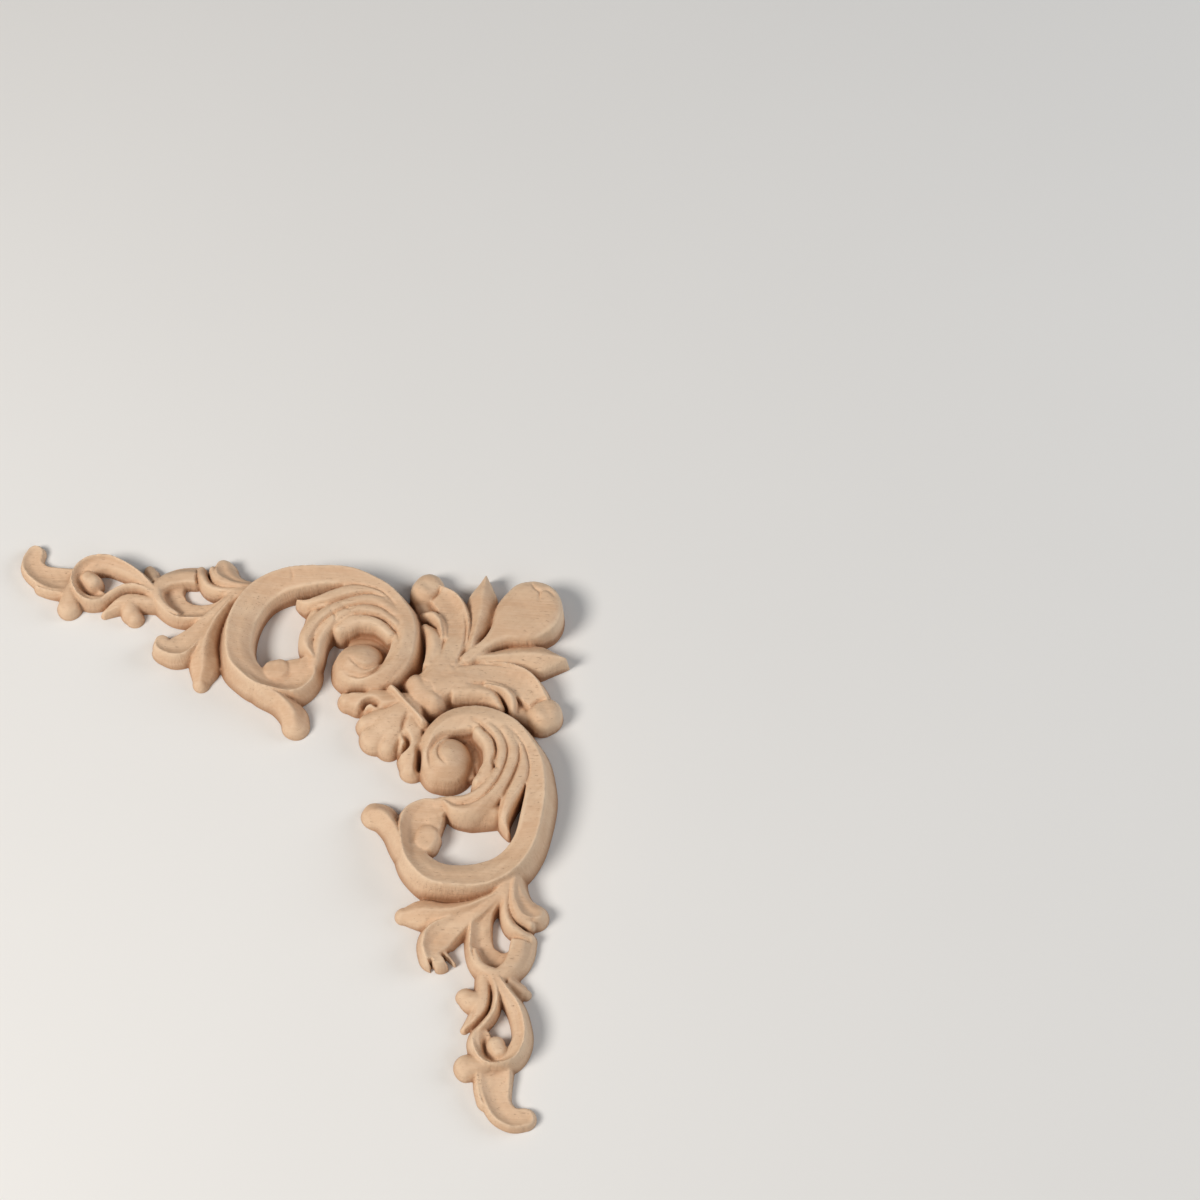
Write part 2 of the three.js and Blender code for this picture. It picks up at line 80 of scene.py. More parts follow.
# The leaf that curls up at the tip of the arm.
ARM_TIP = [
    (ROUND, (SLOPED, SLOPED), (True, False), [
        (-146.4, -3.2, 2.1, 2.2, 2.0, 2.8),
        (-146.6, -6.4, 2.5, 2.0, 1.7, 3.2),
        (-144.2, -9.4, 2.8, 2.2, 1.7, 3.4),
        (-140.0, -10.8, 3.4, 2.6, 2.0, 3.6),
        (-134.0, -11.2, 3.6, 3.4, 2.8, 4.0),
    ]),
    (ROUND, (SLOPED, SLOPED), (True, False), [
        (-142.8, -12.4, 1.8, 1.9, 2.0, 3.6),
        (-139.6, -13.0, 2.0, 2.0, 2.4, 3.8),
        (-134.5, -13.4, 2.2, 3.0, 3.0, 4.0),
    ]),
]

# The small scroll next to it, its rolled end and the three lobes under it.
SMALL_SCROLL = [
    (ROUND, (STEEP, SLOPED), (False, False), [
        (-111.2, -15.2, 1.3, 4.6, 5.4, 5.4),
        (-116.4, -11.0, 1.3, 3.8, 5.6, 6.6),
        (-121.4, -7.8, 1.5, 3.4, 5.2, 7.0),
        (-127.0, -6.3, 1.6, 3.4, 5.0, 7.2),
        (-131.6, -8.0, 1.8, 3.6, 4.6, 7.0),
        (-133.2, -11.6, 1.5, 3.2, 3.8, 6.8),
        (-132.0, -14.6, 1.3, 3.0, 3.8, 6.2),
        (-129.2, -16.2, 1.1, 3.0, 4.2, 5.4),
        (-126.4, -16.2, 0.9, 3.2, 4.2, 4.6),
    ]),
    (FLAT, (STEEP, STEEP), (True, True), [
        (-130.9, -10.5, 2.0, 3.6, 5.6, 4.6),
        (-129.4, -11.6, 2.4, 3.0, 6.0, 3.4),
    ]),
    (RIDGE, (SLOPED, STEEP), (False, True), [
        (-111.4, -14.8, 1.2, 4.8, 5.4, 4.8),
        (-116.0, -12.6, 1.0, 4.6, 6.0, 2.8),
        (-120.4, -12.6, 1.0, 4.2, 5.8, 2.4),
        (-124.0, -14.5, 1.0, 3.8, 5.2, 2.6),
        (-126.4, -16.6, 0.8, 3.2, 4.4, 3.2),
    ]),
    (ROUND, (SLOPED, SLOPED), (False, True), [
        (-110.9, -16.2, 1.1, 3.8, 4.8, 4.4),
        (-116.0, -16.0, 1.5, 3.4, 4.8, 4.4),
        (-120.6, -16.6, 1.5, 3.2, 4.6, 4.0),
        (-125.4, -19.8, 0.5, 1.6, 2.6, 2.0),
    ]),
    (ROUND, (SLOPED, SLOPED), (False, True), [
        (-134.6, -12.5, 1.2, 4.6, 4.8, 3.8),
        (-135.0, -15.6, 2.0, 4.0, 4.8, 3.0),
        (-135.0, -18.2, 2.6, 3.2, 4.4, 2.8),
    ]),
    (ROUND, (SLOPED, SLOPED), (False, True), [
        (-118.8, -15.6, 1.4, 3.8, 4.6, 3.6),
        (-118.4, -18.4, 2.1, 3.4, 4.6, 3.0),
        (-117.2, -20.2, 1.8, 2.4, 3.6, 2.2),
    ]),
    (ROUND, (SLOPED, SLOPED), (False, True), [
        (-126.0, -16.0, 1.4, 2.6, 3.8, 2.6),
        (-131.0, -16.4, 1.3, 2.6, 3.6, 2.6),
    ]),
    (ROUND, (STEEP, STEEP), (True, True), [
        (-131.2, -13.6, 1.8, 2.6, 3.0, 2.8),
        (-127.0, -14.8, 1.5, 2.6, 3.0, 2.8),
    ]),
    (ROUND, (SLOPED, SLOPED), (False, True), [
        (-113.0, -10.0, 1.6, 3.0, 4.4, 3.0),
        (-115.0, -6.6, 1.5, 2.0, 3.0, 2.0),
        (-115.4, -5.6, 1.1, 1.5, 2.2, 1.5),
    ]),
]

# The husk: a hollow shell with small leaves folded over its outer side.
HUSK = [
    (ROUND, (SLOPED, STEEP), (False, True), [
        (-87.2, -12.6, 1.0, 7.0, 7.4, 7.0),
        (-90.8, -13.5, 1.4, 7.2, 7.2, 6.8),
        (-95.4, -17.0, 2.0, 6.2, 4.8, 4.2),
        (-100.4, -17.8, 2.7, 5.4, 3.0, 2.2),
        (-105.8, -16.8, 3.3, 5.0, 2.0, 1.6),
        (-109.0, -13.2, 4.0, 5.4, 2.0, 1.6),
        (-108.0, -9.4, 3.3, 3.4, 3.0, 1.6),
        (-105.2, -7.4, 2.8, 2.4, 3.0, 2.0),
        (-101.8, -6.6, 2.2, 2.2, 3.0, 2.4),
    ]),
    (ROUND, (SLOPED, STEEP), (True, False), [
        (-105.6, -19.0, 0.5, 4.4, 4.6, 3.4),
        (-109.8, -16.9, 1.0, 5.2, 5.4, 4.0),
        (-111.7, -13.2, 1.5, 5.4, 5.8, 4.4),
        (-109.9, -9.8, 2.2, 3.8, 5.4, 4.8),
        (-106.4, -8.1, 2.4, 2.8, 4.9, 4.8),
        (-102.6, -7.6, 2.4, 2.4, 4.9, 4.8),
    ]),
    (ROUND, (STEEP, STEEP), (False, True), [
        (-86.4, -11.4, 0.9, 6.8, 7.4, 6.8),
        (-90.0, -12.3, 1.1, 6.2, 7.2, 6.2),
        (-94.8, -12.4, 1.3, 4.6, 6.6, 5.4),
        (-98.6, -10.9, 1.5, 3.2, 6.2, 4.6),
        (-101.0, -8.0, 1.5, 2.8, 5.6, 4.2),
        (-101.6, -5.6, 1.2, 2.4, 4.0, 3.2),
    ]),
    (ROUND, (STEEP, STEEP), (False, True), [
        (-86.2, -10.8, 0.9, 6.6, 7.2, 6.6),
        (-89.8, -11.0, 1.1, 6.2, 7.4, 6.2),
        (-93.8, -10.2, 1.3, 5.8, 7.2, 5.4),
        (-96.6, -8.4, 1.4, 5.0, 6.8, 4.8),
        (-98.2, -5.8, 1.2, 4.0, 5.6, 4.2),
    ]),
    (ROUND, (SLOPED, SLOPED), (False, True), [
        (-86.2, -10.2, 0.9, 6.4, 6.4, 5.6),
        (-89.2, -9.7, 1.3, 6.8, 6.2, 4.8),
        (-92.2, -8.4, 1.8, 7.4, 5.6, 4.4),
        (-94.4, -6.4, 2.5, 7.2, 5.2, 3.8),
        (-94.9, -4.9, 2.3, 6.0, 5.0, 3.4),
    ]),
]

# The fan below the joint: a curled lobe, a pointed leaf and the hollow beside the ring.
FAN = [
    (ROUND, (SLOPED, SLOPED), (False, True), [
        (-91.5, -14.0, 0.9, 6.8, 7.0, 6.6),
        (-96.4, -19.4, 1.5, 5.8, 5.8, 5.4),
        (-99.8, -24.4, 2.4, 5.8, 4.6, 4.2),
        (-103.4, -28.4, 3.4, 6.0, 4.0, 3.4),
        (-107.4, -28.7, 2.5, 5.8, 4.2, 3.6),
        (-108.5, -27.4, 1.6, 4.8, 4.4, 3.8),
    ]),
    (RIDGE, (SLOPED, SLOPED), (False, True), [
        (-91.5, -14.8, 0.9, 6.0, 7.2, 6.0),
        (-95.0, -21.0, 1.7, 4.8, 7.2, 4.8),
        (-96.8, -27.5, 2.5, 3.8, 6.6, 4.0),
        (-96.7, -33.2, 3.3, 2.8, 5.6, 3.2),
        (-97.1, -37.6, 1.9, 1.4, 3.2, 1.8),
    ]),
    (ROUND, (SLOPED, SLOPED), (False, True), [
        (-90.8, -15.0, 1.4, 5.6, 5.2, 5.2),
        (-92.0, -21.0, 1.6, 3.6, 2.8, 3.6),
        (-92.6, -28.0, 1.8, 2.8, 1.8, 2.8),
        (-92.4, -32.0, 1.3, 1.8, 1.3, 1.8),
    ]),
]

# The ring: a coved band that starts below the opening, rises and runs over into the big volute.
RING = [
    (RIDGE, (SLOPED, STEEP), (True, False), [
        (-69.4, -31.4, 1.9, 6.0, 5.6, 5.8),
        (-69.9, -34.8, 2.5, 6.2, 4.8, 5.0),
        (-72.9, -37.6, 2.8, 7.2, 4.6, 4.4),
        (-78.2, -37.9, 2.4, 8.4, 5.0, 4.6),
        (-83.0, -35.8, 2.8, 9.0, 6.6, 5.0),
        (-86.8, -31.6, 3.3, 9.4, 7.8, 5.4),
        (-88.0, -25.5, 3.4, 9.6, 8.2, 5.8),
        (-86.9, -18.8, 3.4, 9.6, 8.2, 6.0),
        (-83.4, -13.0, 3.2, 9.8, 8.4, 6.4),
        (-77.6, -9.2, 2.9, 10.0, 8.8, 7.6),
        (-69.8, -7.6, 2.6, 10.4, 9.6, 9.0),
        (-62.0, -7.3, 2.4, 10.4, 9.6, 9.0),
        (-55.2, -9.2, 2.4, 10.2, 9.6, 8.8),
        (-49.2, -13.6, 2.6, 10.0, 9.6, 8.8),
        (-45.8, -19.0, 3.0, 9.4, 9.9, 8.6),
        (-45.0, -24.8, 3.2, 8.8, 10.0, 8.2),
        (-46.4, -30.6, 3.2, 7.6, 9.8, 8.0),
        (-50.4, -34.6, 2.8, 6.4, 9.2, 8.0),
        (-56.0, -35.4, 2.2, 5.8, 8.4, 8.0),
    ]),
    (SHOULDER, (STEEP, STEEP), (True, True), [
        (-78.2, -34.0, 3.3, 3.8, 5.6, 4.4),
        (-76.8, -33.6, 3.3, 3.8, 5.8, 3.8),
    ]),
    (ROUND, (STEEP, STEEP), (True, True), [
        (-75.2, -33.4, 2.8, 4.0, 4.7, 3.4),
        (-71.2, -32.4, 2.6, 4.6, 5.4, 4.4),
    ]),
    (RIDGE, (SLOPED, SLOPED), (False, True), [
        (-84.0, -37.2, 0.6, 7.4, 8.0, 7.4),
        (-80.2, -39.9, 1.3, 6.4, 8.0, 6.6),
        (-75.5, -42.1, 2.0, 4.6, 7.6, 4.8),
        (-72.1, -45.0, 2.7, 3.6, 6.6, 3.4),
        (-71.1, -47.8, 2.9, 2.4, 4.8, 2.4),
    ]),
]

# The acanthus leaf laid over the band: four lobes with hooked tips.
ACANTHUS = [
    (FLAT, (STEEP, STEEP), (True, False), [
        (-49.6, -13.2, 1.4, 9.2, 9.8, 9.4),
        (-55.6, -11.0, 2.0, 9.2, 9.9, 9.4),
        (-61.6, -11.9, 2.1, 9.0, 9.8, 8.8),
        (-67.6, -14.0, 1.9, 8.0, 9.2, 7.2),
        (-71.6, -14.5, 1.3, 6.0, 7.6, 5.6),
        (-74.8, -13.2, 0.3, 4.6, 5.8, 4.8),
    ]),
    (ROUND, (STEEP, STEEP), (True, False), [
        (-48.0, -16.6, 1.4, 9.2, 10.0, 9.4),
        (-53.6, -13.8, 1.8, 9.2, 10.1, 9.4),
        (-60.0, -15.2, 2.0, 9.0, 9.9, 9.2),
        (-66.0, -18.4, 2.4, 8.2, 9.5, 8.0),
        (-70.0, -22.6, 2.4, 7.8, 9.0, 5.8),
        (-70.4, -26.6, 1.9, 7.4, 8.6, 5.0),
        (-68.0, -30.6, 0.7, 6.2, 7.8, 5.2),
    ]),
    (ROUND, (STEEP, STEEP), (True, False), [
        (-47.4, -20.4, 1.4, 9.0, 10.0, 9.2),
        (-52.0, -17.2, 1.6, 9.0, 10.1, 9.2),
        (-58.0, -17.0, 1.8, 8.8, 10.0, 9.2),
        (-63.4, -19.4, 1.8, 7.6, 9.6, 8.6),
        (-66.6, -24.4, 1.5, 5.8, 8.2, 7.2),
        (-67.3, -29.8, 1.4, 5.0, 7.2, 6.4),
        (-68.2, -33.0, 1.4, 4.6, 5.8, 5.2),
    ]),
    (FLAT, (STEEP, STEEP), (True, True), [
        (-48.8, -23.2, 1.2, 8.4, 9.6, 9.0),
        (-52.4, -20.2, 1.5, 8.4, 9.9, 9.2),
        (-57.0, -19.6, 1.8, 7.8, 9.8, 9.0),
        (-60.4, -20.8, 2.1, 6.8, 9.2, 8.0),
        (-62.0, -22.0, 1.8, 6.2, 8.6, 7.2),
    ]),
    (ROUND, (SLOPED, SLOPED), (True, True), [
        (-69.2, -17.4, 1.7, 6.0, 7.0, 5.4),
        (-69.6, -23.0, 2.4, 6.4, 7.4, 5.0),
    ]),
]

# The volute's domed eye, and the turn that runs under it.
VOLUTE = [
    (ROUND, (SLOPED, SLOPED), (True, True), [
        (-56.8, -30.6, 5.4, 5.6, 9.8, 5.8),
        (-55.6, -30.4, 5.4, 5.6, 9.8, 5.8),
    ]),
    (ROUND, (SLOPED, SLOPED), (False, False), [
        (-50.6, -34.4, 2.4, 6.2, 8.8, 7.8),
        (-55.6, -35.4, 2.1, 5.8, 8.2, 8.2),
        (-60.0, -33.6, 1.6, 5.2, 7.2, 7.6),
        (-61.4, -30.4, 1.0, 4.8, 6.2, 6.6),
    ]),
    (ROUND, (STEEP, STEEP), (True, True), [
        (-57.6, -24.4, 2.4, 3.0, 3.4, 3.0),
        (-52.4, -24.2, 2.8, 3.0, 3.4, 3.0),
        (-49.8, -28.6, 2.0, 3.0, 3.4, 3.0),
    ]),
]

# One side of the palmette: curled leaf with its ball end, two rolls and a pointed leaf.
PALMETTE = [
    (ROUND, (STEEP, SLOPED), (False, True), [
        (-37.2, -36.0, 3.0, 8.0, 9.6, 8.6),
        (-34.4, -30.0, 3.2, 8.0, 9.2, 8.4),
        (-32.4, -24.0, 3.4, 7.4, 8.0, 8.6),
        (-32.2, -18.0, 3.5, 6.6, 6.8, 8.8),
        (-34.2, -12.4, 3.4, 6.0, 6.0, 8.2),
        (-38.0, -8.8, 2.6, 5.4, 5.8, 6.6),
    ]),
    (ROUND, (STEEP, STEEP), (True, True), [
        (-41.2, -7.4, 4.1, 3.8, 8.0, 4.2),
        (-40.4, -6.2, 4.1, 3.8, 8.0, 4.2),
    ]),
    (ROUND, (STEEP, STEEP), (True, True), [
        (-42.2, -9.4, 2.2, 3.2, 4.2, 3.2),
        (-40.0, -14.0, 2.4, 3.2, 4.2, 3.2),
    ]),
    (ROUND, (STEEP, STEEP), (False, True), [
        (-34.6, -22.8, 0.9, 7.2, 8.6, 7.6),
        (-35.8, -18.4, 1.2, 6.2, 8.6, 7.0),
        (-38.2, -15.6, 1.4, 5.0, 8.0, 6.0),
        (-41.0, -15.0, 1.1, 3.4, 5.8, 4.2),
    ]),
    (ROUND, (STEEP, STEEP), (False, True), [
        (-37.6, -31.0, 1.8, 7.0, 8.8, 8.0),
        (-37.0, -25.6, 2.0, 5.8, 8.6, 7.4),
        (-37.8, -21.4, 2.0, 5.0, 8.2, 6.6),
        (-40.2, -18.8, 1.5, 3.8, 6.6, 5.0),
    ]),
    (RIDGE, (STEEP, STEEP), (False, False), [
        (-27.8, -27.0, 0.9, 7.4, 8.6, 7.4),
        (-26.8, -21.0, 2.1, 6.2, 8.6, 6.2),
        (-25.8, -15.0, 3.7, 5.2, 8.4, 5.2),
        (-25.5, -9.4, 3.9, 4.8, 8.4, 4.8),
        (-25.3, -5.2, 2.0, 5.0, 7.6, 5.0),
        (-25.3, -2.2, 0.3, 5.2, 6.8, 5.2),
    ]),
]

# Half of the drop below the collar: an ear, and the small lobe between the ear and the tongue.
DROP_SIDE = [
    (ROUND, (SLOPED, SLOPED), (True, True), [
        (-44.5, -41.6, 2.4, 7.2, 8.2, 7.2),
        (-50.0, -40.7, 2.8, 6.0, 7.0, 6.0),
        (-55.4, -39.8, 2.6, 5.0, 6.2, 4.8),
        (-58.0, -39.6, 2.0, 4.2, 5.2, 3.8),
    ]),
    (ROUND, (SLOPED, SLOPED), (True, True), [
        (-48.4, -45.2, 2.4, 6.0, 7.2, 6.0),
        (-52.2, -46.6, 2.0, 4.2, 5.8, 4.6),
    ]),
]

# What lies on the diagonal itself: the broad lobe, the boss, the collar and the drop's tongue.
DIAGONAL = [
    (SHOULDER, (STEEP, STEEP), (False, True), [
        (-29.0, -29.0, 2.0, 7.8, 8.8, 7.8),
        (-24.0, -24.0, 1.6, 7.2, 9.0, 7.2),
        (-20.6, -20.6, 3.0, 7.0, 9.4, 7.0),
        (-16.6, -16.6, 7.0, 7.6, 9.8, 7.6),
        (-12.4, -12.4, 8.2, 8.4, 10.0, 8.4),
    ]),
    (ROUND, (SLOPED, SLOPED), (True, True), [
        (-37.0, -37.0, 4.6, 7.2, 9.4, 7.2),
        (-31.0, -31.0, 4.6, 7.4, 9.0, 7.4),
    ]),
    (ROUND, (SLOPED, SLOPED), (True, True), [
        (-40.2, -36.0, 2.7, 6.6, 9.4, 7.2),
        (-38.4, -38.4, 3.4, 7.6, 9.5, 7.6),
        (-36.0, -40.2, 2.7, 7.2, 9.4, 6.6),
    ]),
    (RIDGE, (SLOPED, SLOPED), (True, True), [
        (-46.8, -38.0, 0.7, 8.0, 9.4, 8.0),
        (-42.4, -42.4, 0.8, 8.4, 9.8, 8.4),
        (-38.0, -46.8, 0.7, 8.0, 9.4, 8.0),
    ]),
    (ROUND, (SLOPED, SLOPED), (True, True), [
        (-42.8, -42.8, 4.0, 7.2, 8.6, 7.2),
        (-46.8, -46.8, 5.0, 5.2, 7.8, 5.2),
        (-49.6, -49.6, 3.6, 4.0, 6.0, 4.0),
    ]),
]

# Creases cut into one half, and mirrored: (half width, depth, points along the crease).
CREASES = [
    # Round the volute's eye and over its dome.
    (0.9, 1.6, [(-50.2, -26.4), (-49.9, -30.0), (-51.6, -33.4), (-55.0, -35.2), (-59.0, -34.6)]),
    (0.7, 1.0, [(-58.6, -30.4), (-56.6, -32.4), (-54.0, -32.9), (-51.6, -31.6)]),
    # Between the lobes of the acanthus leaf.
    (0.6, 1.5, [(-71.4, -15.8), (-66.0, -15.0), (-61.0, -13.2), (-56.0, -12.0), (-51.0, -12.7)]),
    (0.5, 1.2, [
        (-69.0, -28.4), (-68.2, -23.0), (-64.8, -18.6), (-59.6, -15.9), (-53.4, -15.2), (-48.6, -17.4),
    ]),
    (0.6, 1.4, [(-60.0, -18.6), (-55.4, -18.1), (-50.6, -19.2), (-47.2, -22.2), (-46.0, -25.0)]),
    (0.5, 0.9, [(-63.0, -9.6), (-57.6, -9.5), (-52.0, -11.2), (-48.0, -14.6)]),
    # Under the small scroll's roll, and between its stems.
    (0.9, 1.6, [(-133.0, -11.6), (-131.6, -13.8), (-129.4, -14.6), (-127.2, -14.2)]),
    (0.7, 1.5, [(-113.6, -14.6), (-117.6, -13.9), (-121.2, -14.6), (-124.6, -17.2)]),
    (0.5, 0.8, [(-120.4, -17.8), (-122.2, -17.7), (-124.4, -19.0)]),
    # In the spur, the curled leaves and the rolls.
    (1.4, 1.2, [(-74.0, -41.0), (-70.6, -43.4), (-69.2, -46.4)]),
    (0.6, 1.0, [(-35.0, -27.6), (-34.6, -22.0), (-35.6, -17.6)]),
    (0.7, 1.2, [(-30.9, -31.6), (-29.4, -26.0), (-29.0, -20.0), (-29.8, -14.0)]),
    (0.6, 1.2, [(-39.6, -10.6), (-37.8, -8.6), (-37.0, -6.4)]),
    # Drilled notches beside the drop's tongue and below the volute.
    (1.1, 5.0, [(-54.6, -43.6), (-53.2, -41.8), (-51.6, -41.3), (-50.0, -42.4)]),
    (1.1, 4.6, [(-59.0, -38.2), (-56.6, -37.9), (-53.4, -38.1)]),
    (0.7, 1.2, [(-50.0, -43.0), (-47.4, -42.9), (-45.0, -41.8)]),
]

# Shallow dishes in the broad lobe and in the curled leaves' round ends: (x, y, radius, depth).
DISHES = [(-13.0, -13.0, 7.0, 0.5), (-40.2, -6.4, 3.4, 1.1), (-6.4, -40.2, 3.4, 1.1)]

# Chips and torn grain that only one side has: (half width, depth, points), not mirrored.
CHIPS = [
    (0.6, 0.8, [(-13.2, -5.0), (-12.0, -7.0), (-10.8, -7.8), (-10.9, -10.4)]),
    (0.8, 0.6, [(-10.8, -7.8), (-8.8, -7.2), (-6.8, -8.8)]),
    (0.5, 0.7, [(-61.8, -15.8), (-60.2, -17.0), (-58.8, -16.6)]),
    (0.6, 0.6, [(-64.8, -17.2), (-63.4, -19.0), (-63.2, -21.0)]),
    (0.6, 0.9, [(-21.6, -60.4), (-23.0, -58.8), (-23.4, -56.6)]),
    (0.7, 1.2, [(-17.2, -59.0), (-18.8, -57.4), (-18.4, -55.0)]),
    (0.4, 0.5, [(-76.8, -6.4), (-76.2, -8.2), (-76.6, -9.6)]),
]

# The lower arm's curled lobe is broken: two splits run into its end, two bites are gone from its tip,
# and a thin sliver of wood still stands beside them. All are on the mirrored drawing. A split is
# (half width at the open end, open end, blind end), and a bite is (x, y, radius).
SPLITS = [
    (0.9, (-110.4, -23.8), (-107.0, -27.2)),
    (0.8, (-113.2, -28.0), (-109.0, -29.8)),
]
BROKEN_TIP = [(-114.0, -26.4, 2.0), (-111.8, -23.4, 1.4)]
SLIVER = (ROUND, (STEEP, STEEP), (True, True), [
    (-109.0, -23.9, 0.35, 1.6, 2.0, 1.6),
    (-107.6, -25.4, 0.45, 2.0, 2.6, 2.0),
    (-106.0, -27.2, 0.70, 2.8, 3.4, 2.8),
])

SIDE = ARM_TIP + SMALL_SCROLL + HUSK + FAN + RING + ACANTHUS + VOLUTE + PALMETTE + DROP_SIDE


def spline(rows, spacing):
    """A smooth curve through the rows, with all their values, sampled about every spacing."""
    rows = np.array(rows, dtype=float)
    padded = np.vstack([rows[0], rows, rows[-1]])
    samples = []
    for before, here, after, beyond in zip(padded, padded[1:], padded[2:], padded[3:]):
        count = max(2, int(np.hypot(*(after - here)[:2]) / spacing))
        t = np.arange(count)[:, None] / count
        start, end, rise = (after - before) / 2, (beyond - here) / 2, after - here
        square, cubic = 3 * rise - 2 * start - end, start + end - 2 * rise
        samples.append(here + start * t + square * t**2 + cubic * t**3)
    samples.append(rows[-1:])
    return np.vstack(samples)


def nearest(path, points):
    """For each point: index of the nearest path sample, distance to it, and its offset from it."""
    index = np.empty(len(points), dtype=int)
    for start in range(0, len(points), 4000):
        block = points[start:start + 4000]
        gap = block[:, None, :] - path[None, :, :2]
        index[start:start + 4000] = np.argmin((gap**2).sum(axis=2), axis=1)
    offset = points - path[index, :2]
    return index, np.hypot(offset[:, 0], offset[:, 1]), offset


def headings(path):
    """The direction of the path at each of its samples, as unit vectors."""
    step = np.gradient(path[:, :2], axis=0)
    return step / np.linalg.norm(step, axis=1)[:, None]


def window(path, margin, axis):
    """Slices of the grid that the path and a margin around it reach."""
    low = path[:, :2].min(axis=0) - margin
    high = path[:, :2].max(axis=0) + margin
    return tuple(
        slice(max(0, np.searchsorted(axis, low[k])), min(len(axis), np.searchsorted(axis, high[k])))
        for k in (0, 1)
    )


def carve(height, axis, stroke):
    """Raises the height field to a stroke's surface and its drafted walls."""
    power, walls, caps, rows = stroke
    path = spline(rows, GRID / 2)
    ahead_of = headings(path)
    part = window(path, path[:, 2].max() + path[:, 3:].max() * max(walls) + 1.5, axis)
    x, y = np.meshgrid(axis[part[0]], axis[part[1]], indexing="ij")
    index, distance, offset = nearest(path, np.column_stack([x.ravel(), y.ravel()]))
    _, _, half, left, middle, right = path[index].T
    half = np.maximum(half, 0.05)
    heading = ahead_of[index]
    along = (offset * heading).sum(axis=1)
    side = offset[:, 1] * heading[:, 0] - offset[:, 0] * heading[:, 1]
    past = np.where(index == 0, -along, np.where(index == len(path) - 1, along, 0.0)).clip(0)
    cut = ((index == 0) & (not caps[0])) | ((index == len(path) - 1) & (not caps[1]))
    radius = np.where(cut, np.abs(side), distance)
    lean = np.where(cut, np.sign(side), side / np.maximum(distance, 1e-6))
    edge = (left + right) / 2 + (left - right) / 2 * lean
    share = np.minimum(radius / half, 1.0) ** power
    wall = (walls[0] + walls[1]) / 2 + (walls[0] - walls[1]) / 2 * lean
    surface = middle + (edge - middle) * share - np.maximum(radius - half, 0) / wall
    surface = surface - np.where(cut, past / END_LEAN, 0.0)
    height[part] = np.maximum(height[part], surface.reshape(x.shape))


def crease(depth, axis, cut):
    """Adds one crease to the field of cutting depths."""
    half, deepest, points = cut
    path = spline(points, GRID / 2)
    part = window(path, half, axis)
    x, y = np.meshgrid(axis[part[0]], axis[part[1]], indexing="ij")
    index, distance, _ = nearest(path, np.column_stack([x.ravel(), y.ravel()]))
    fade = np.sin(np.pi * (0.08 + 0.84 * index / (len(path) - 1)))
    notch = deepest * fade * (1 - np.minimum(distance / half, 1.0) ** 2) ** 2
    depth[part] = np.maximum(depth[part], notch.reshape(x.shape))


def split(height, axis, cut):
    """Cuts a tapering split right through the piece."""
    half, (x0, y0), (x1, y1) = cut
    x, y = np.meshgrid(axis, axis, indexing="ij")
    length = math.hypot(x1 - x0, y1 - y0)
    ahead = ((x1 - x0) / length, (y1 - y0) / length)
    along = (x - x0) * ahead[0] + (y - y0) * ahead[1]
    aside = np.abs((x - x0) * ahead[1] - (y - y0) * ahead[0]) + RAGGED_SPLIT * np.sin(along * 4.1)
    reach = np.clip(1 - along / length, 0, 1)
    wall = (aside - half * reach) / STEEP
    wall[(along < -2) | (along > length)] = 99.0
    np.minimum(height, wall, out=height)


def break_off(height, axis, chip):
    """Takes away a ragged round bite."""
    x, y, radius = chip
    away = np.hypot(axis[:, None] - x, axis[None, :] - y)
    turn = np.arctan2(axis[None, :] - y, axis[:, None] - x)
    np.minimum(height, (away - radius - RAGGED_BITE * np.sin(turn * 7)) / SLOPED, out=height)


def blurred(field, cells):
    """The field averaged over a square window, twice, which is close to a round soft blur."""
    for _ in range(2):
        for axis in (0, 1):
            padded = np.concatenate(
                [np.repeat(np.take(field, [0], axis), cells + 1, axis), field,
                 np.repeat(np.take(field, [-1], axis), cells, axis)], axis)
            total = np.cumsum(padded, axis)
            count = field.shape[axis]
            upper = np.take(total, np.arange(count) + 2 * cells + 1, axis)
            lower = np.take(total, np.arange(count), axis)
            field = (upper - lower) / (2 * cells + 1)
    return field


def relief():
    """The height field of the whole ornament and the grid axis it is drawn on."""
    axis = np.arange(-REACH, PAST_CORNER, GRID)
    side = np.full((len(axis), len(axis)), EMPTY)
    for stroke in SIDE:
        carve(side, axis, stroke)
    cuts = np.zeros_like(side)
    for cut in CREASES:
        crease(cuts, axis, cut)
    height = np.maximum(side, side.T)
    for stroke in DIAGONAL:
        carve(height, axis, stroke)
    cuts = np.maximum(cuts, cuts.T)
    for x, y, radius, depth in DISHES:
        from_middle = np.hypot(axis[:, None] - x, axis[None, :] - y) / radius
        height = height - depth * (1 - np.minimum(from_middle, 1) ** 2) ** 2
    chips = np.zeros_like(height)
    for chip in CHIPS:
        crease(chips, axis, chip)
    height = height - cuts - chips
    for cut in SPLITS:
        split(height.T, axis, cut)
    for chip in BROKEN_TIP:
        break_off(height.T, axis, chip)
    carve(height.T, axis, SLIVER)
    eased = height.copy()
    eased[1:-1, 1:-1] = (
        height[1:-1, 1:-1] * 4
        + height[:-2, 1:-1] + height[2:, 1:-1] + height[1:-1, :-2] + height[1:-1, 2:]
    ) / 8
    x, y = np.meshgrid(axis, axis, indexing="ij")
    knife = BROAD_KNIFE_WAVE * wander(x * 5, y * 5, 1.3)
    knife = knife + FINE_KNIFE_WAVE * wander(x * 13, y * 11, 3.7)
    return axis, eased + knife * (eased > 1)


